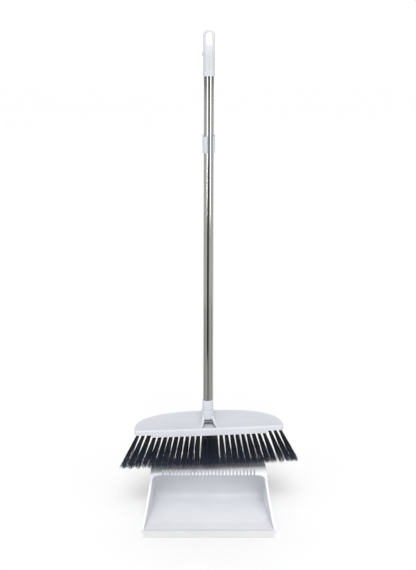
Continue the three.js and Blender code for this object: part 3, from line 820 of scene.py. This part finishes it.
def bristleRow(row, tree):
    name = f"bristleRow{row + 1}"
    blank = bpy.data.objects.new(name + "Roots", tuftPoints(row))
    bpy.context.collection.objects.link(blank)
    grow = blank.modifiers.new("tufts", "NODES")
    grow.node_group = tree
    settings = {
        "Filaments": bristles["filaments"][row],
        "Seed": bristles["seed"] + 10 * row,
        "Hole Radius": bristles["holeRadius"][row] * mm,
        "Filament Radius": bristles["filamentRadius"] * mm,
        "Flare": bristles["flare"][row],
        "Stray": bristles["stray"][row],
        "Bow": bristles["bow"] * mm,
        "Ragged": bristles["ragged"],
    }
    for socket in tree.interface.items_tree:
        if socket.name in settings:
            grow[socket.identifier] = settings[socket.name]
    mesh = plainMesh(blank, name)
    bpy.data.objects.remove(blank)
    mesh.shade_smooth()
    addPiece(name, mesh, bristleDye, "broom", (f"bristle_row_{row + 1}",))


tufts = tuftTree()
for row in range(len(bristles["rows"])):
    bristleRow(row, tufts)
print("bristles made")


# Panels and flags are (bearing, distance, width, (low, high), power or brightness), and floor flags are
# (first bearing, last bearing, brightness).
studio = {
    "cameraPlace": (-0.0014, -1.95, 1.0074),
    "cameraPitch": 14.4,
    "lens": 63.16,
    "floorSize": 30.0,
    "floorZ": -0.0004,
    "floorWhite": 0.87,
    "skyForCamera": 1.06,
    "skyForLight": 0.70,
    "skyForGloss": 0.32,
    "sidePanels": [(-34, 2.2, 0.50, (0.28, 1.9), 14.0), (44, 2.2, 0.50, (0.22, 1.9), 14.0)],
    "softLights": {
        "highLight": {"elevation": 66, "bearing": 0, "spread": 45, "strength": 0.6},
        "lowLight": {"elevation": 51, "bearing": 0, "spread": 24, "strength": 1.2},
    },
    "flags": [(-15, 1.0, 0.46, (0.0, 0.62), 0.02), (8, 1.02, 0.36, (0.0, 1.5), 0.2)],
    "floorReach": (0.2, 1.7),
    "floorFlagZ": 0.002,
    "floorFlags": [
        (-110, -75, 0.62), (-75, -48, 0.78), (-48, -22, 0.88), (-22, 2, 0.50),
        (2, 26, 0.42), (26, 52, 0.80), (52, 84, 0.95), (84, 115, 0.55),
    ],
}


def addFloor():
    bm = bmesh.new()
    bmesh.ops.create_grid(bm, x_segments=1, y_segments=1, size=studio["floorSize"] / 2)
    mesh = bpy.data.meshes.new("studioFloor")
    bm.to_mesh(mesh)
    bm.free()
    floor = bpy.data.objects.new("studioFloor", mesh)
    floor.location.z = studio["floorZ"]
    bpy.context.collection.objects.link(floor)
    material, _, shader = blankMaterial("floorPaper")
    shader.inputs["Base Color"].default_value = (*grey(studio["floorWhite"]), 1)
    shader.inputs["Roughness"].default_value = 0.9
    shader.inputs["Specular IOR Level"].default_value = 0.1
    mesh.materials.append(material)


def addSky():
    world = bpy.data.worlds.new("studioSky")
    world.use_nodes = True
    tree = world.node_tree
    background = tree.nodes["Background"]
    rays = addNode(tree, "ShaderNodeLightPath")
    gloss = addNode(tree, "ShaderNodeMix", data_type="FLOAT")
    gloss.inputs["A"].default_value = studio["skyForLight"]
    gloss.inputs["B"].default_value = studio["skyForGloss"]
    seen = addNode(tree, "ShaderNodeMix", data_type="FLOAT")
    seen.inputs["B"].default_value = studio["skyForCamera"]
    tree.links.new(rays.outputs["Is Glossy Ray"], gloss.inputs["Factor"])
    tree.links.new(gloss.outputs["Result"], seen.inputs["A"])
    tree.links.new(rays.outputs["Is Camera Ray"], seen.inputs["Factor"])
    background.inputs["Color"].default_value = (1, 1, 1, 1)
    tree.links.new(seen.outputs["Result"], background.inputs["Strength"])
    bpy.context.scene.world = world


def addPanel(name, place, target, size, power):
    lamp = bpy.data.lights.new(name, "AREA")
    lamp.shape = "RECTANGLE"
    lamp.size, lamp.size_y = size
    lamp.energy = power
    panel = bpy.data.objects.new(name, lamp)
    panel.location = place
    aim = Vector(target) - Vector(place)
    panel.rotation_euler = aim.to_track_quat("-Z", "Y").to_euler()
    panel.visible_diffuse = False  # only the gloss sees it
    bpy.context.collection.objects.link(panel)


# A broad soft light from the camera's side.
def addSoftLight(name, settings):
    lamp = bpy.data.lights.new(name, "SUN")
    lamp.energy = settings["strength"]
    lamp.angle = math.radians(settings["spread"])
    light = bpy.data.objects.new(name, lamp)
    tilt = math.radians(90 - settings["elevation"])
    light.rotation_euler = (tilt, 0, math.radians(settings["bearing"]))
    bpy.context.collection.objects.link(light)


# A place at a bearing and a distance from the broom's pole; bearing 0 is towards the camera.
def onBearing(bearing, distance, z):
    angle = math.radians(bearing)
    return Vector((distance * math.sin(angle), broomY - distance * math.cos(angle), z))


# A card that only reflections see, so that the polished tubes get their dark stripes.
def addCard(name, corners, brightness):
    bm = bmesh.new()
    bm.faces.new([bm.verts.new(corner) for corner in corners])
    mesh = bpy.data.meshes.new(name)
    bm.to_mesh(mesh)
    bm.free()
    card = bpy.data.objects.new(name, mesh)
    bpy.context.collection.objects.link(card)
    material, _, shader = blankMaterial(name + "Paper")
    shader.inputs["Base Color"].default_value = (0, 0, 0, 1)
    shader.inputs["Specular IOR Level"].default_value = 0
    shader.inputs["Emission Color"].default_value = (1, 1, 1, 1)
    shader.inputs["Emission Strength"].default_value = brightness
    mesh.materials.append(material)
    card.visible_camera = False
    card.visible_diffuse = False
    card.visible_shadow = False
    card.visible_transmission = False


def addStandingCard(name, bearing, distance, width, span, brightness):
    angle = math.radians(bearing)
    sideways = Vector((math.cos(angle), math.sin(angle), 0)) * (width / 2)
    low, high = (onBearing(bearing, distance, z) for z in span)
    addCard(name, [low - sideways, low + sideways, high + sideways, high - sideways], brightness)


def addLyingCard(name, start, end, brightness):
    near, far = studio["floorReach"]
    corners = [(start, near), (end, near), (end, far), (start, far)]
    z = studio["floorFlagZ"]
    addCard(name, [onBearing(bearing, distance, z) for bearing, distance in corners], brightness)


def addCamera():
    lens = bpy.data.cameras.new("camera")
    lens.lens = studio["lens"]
    lens.sensor_width = 36
    lens.sensor_fit = "AUTO"
    camera = bpy.data.objects.new("camera", lens)
    camera.location = studio["cameraPlace"]
    camera.rotation_euler = (math.radians(90 - studio["cameraPitch"]), 0, 0)
    bpy.context.collection.objects.link(camera)
    bpy.context.scene.camera = camera


addFloor()
addSky()
for number, (bearing, distance, width, (low, high), power) in enumerate(studio["sidePanels"]):
    middle = (low + high) / 2
    place = onBearing(bearing, distance, middle)
    addPanel(f"sidePanel{number + 1}", place, (0, broomY, middle), (width, high - low), power)
for name, settings in studio["softLights"].items():
    addSoftLight(name, settings)
for number, flag in enumerate(studio["flags"]):
    addStandingCard(f"flag{number + 1}", *flag)
for number, flag in enumerate(studio["floorFlags"]):
    addLyingCard(f"floorFlag{number + 1}", *flag)
addCamera()
bpy.context.scene.view_settings.view_transform = "Standard"
print("studio made")
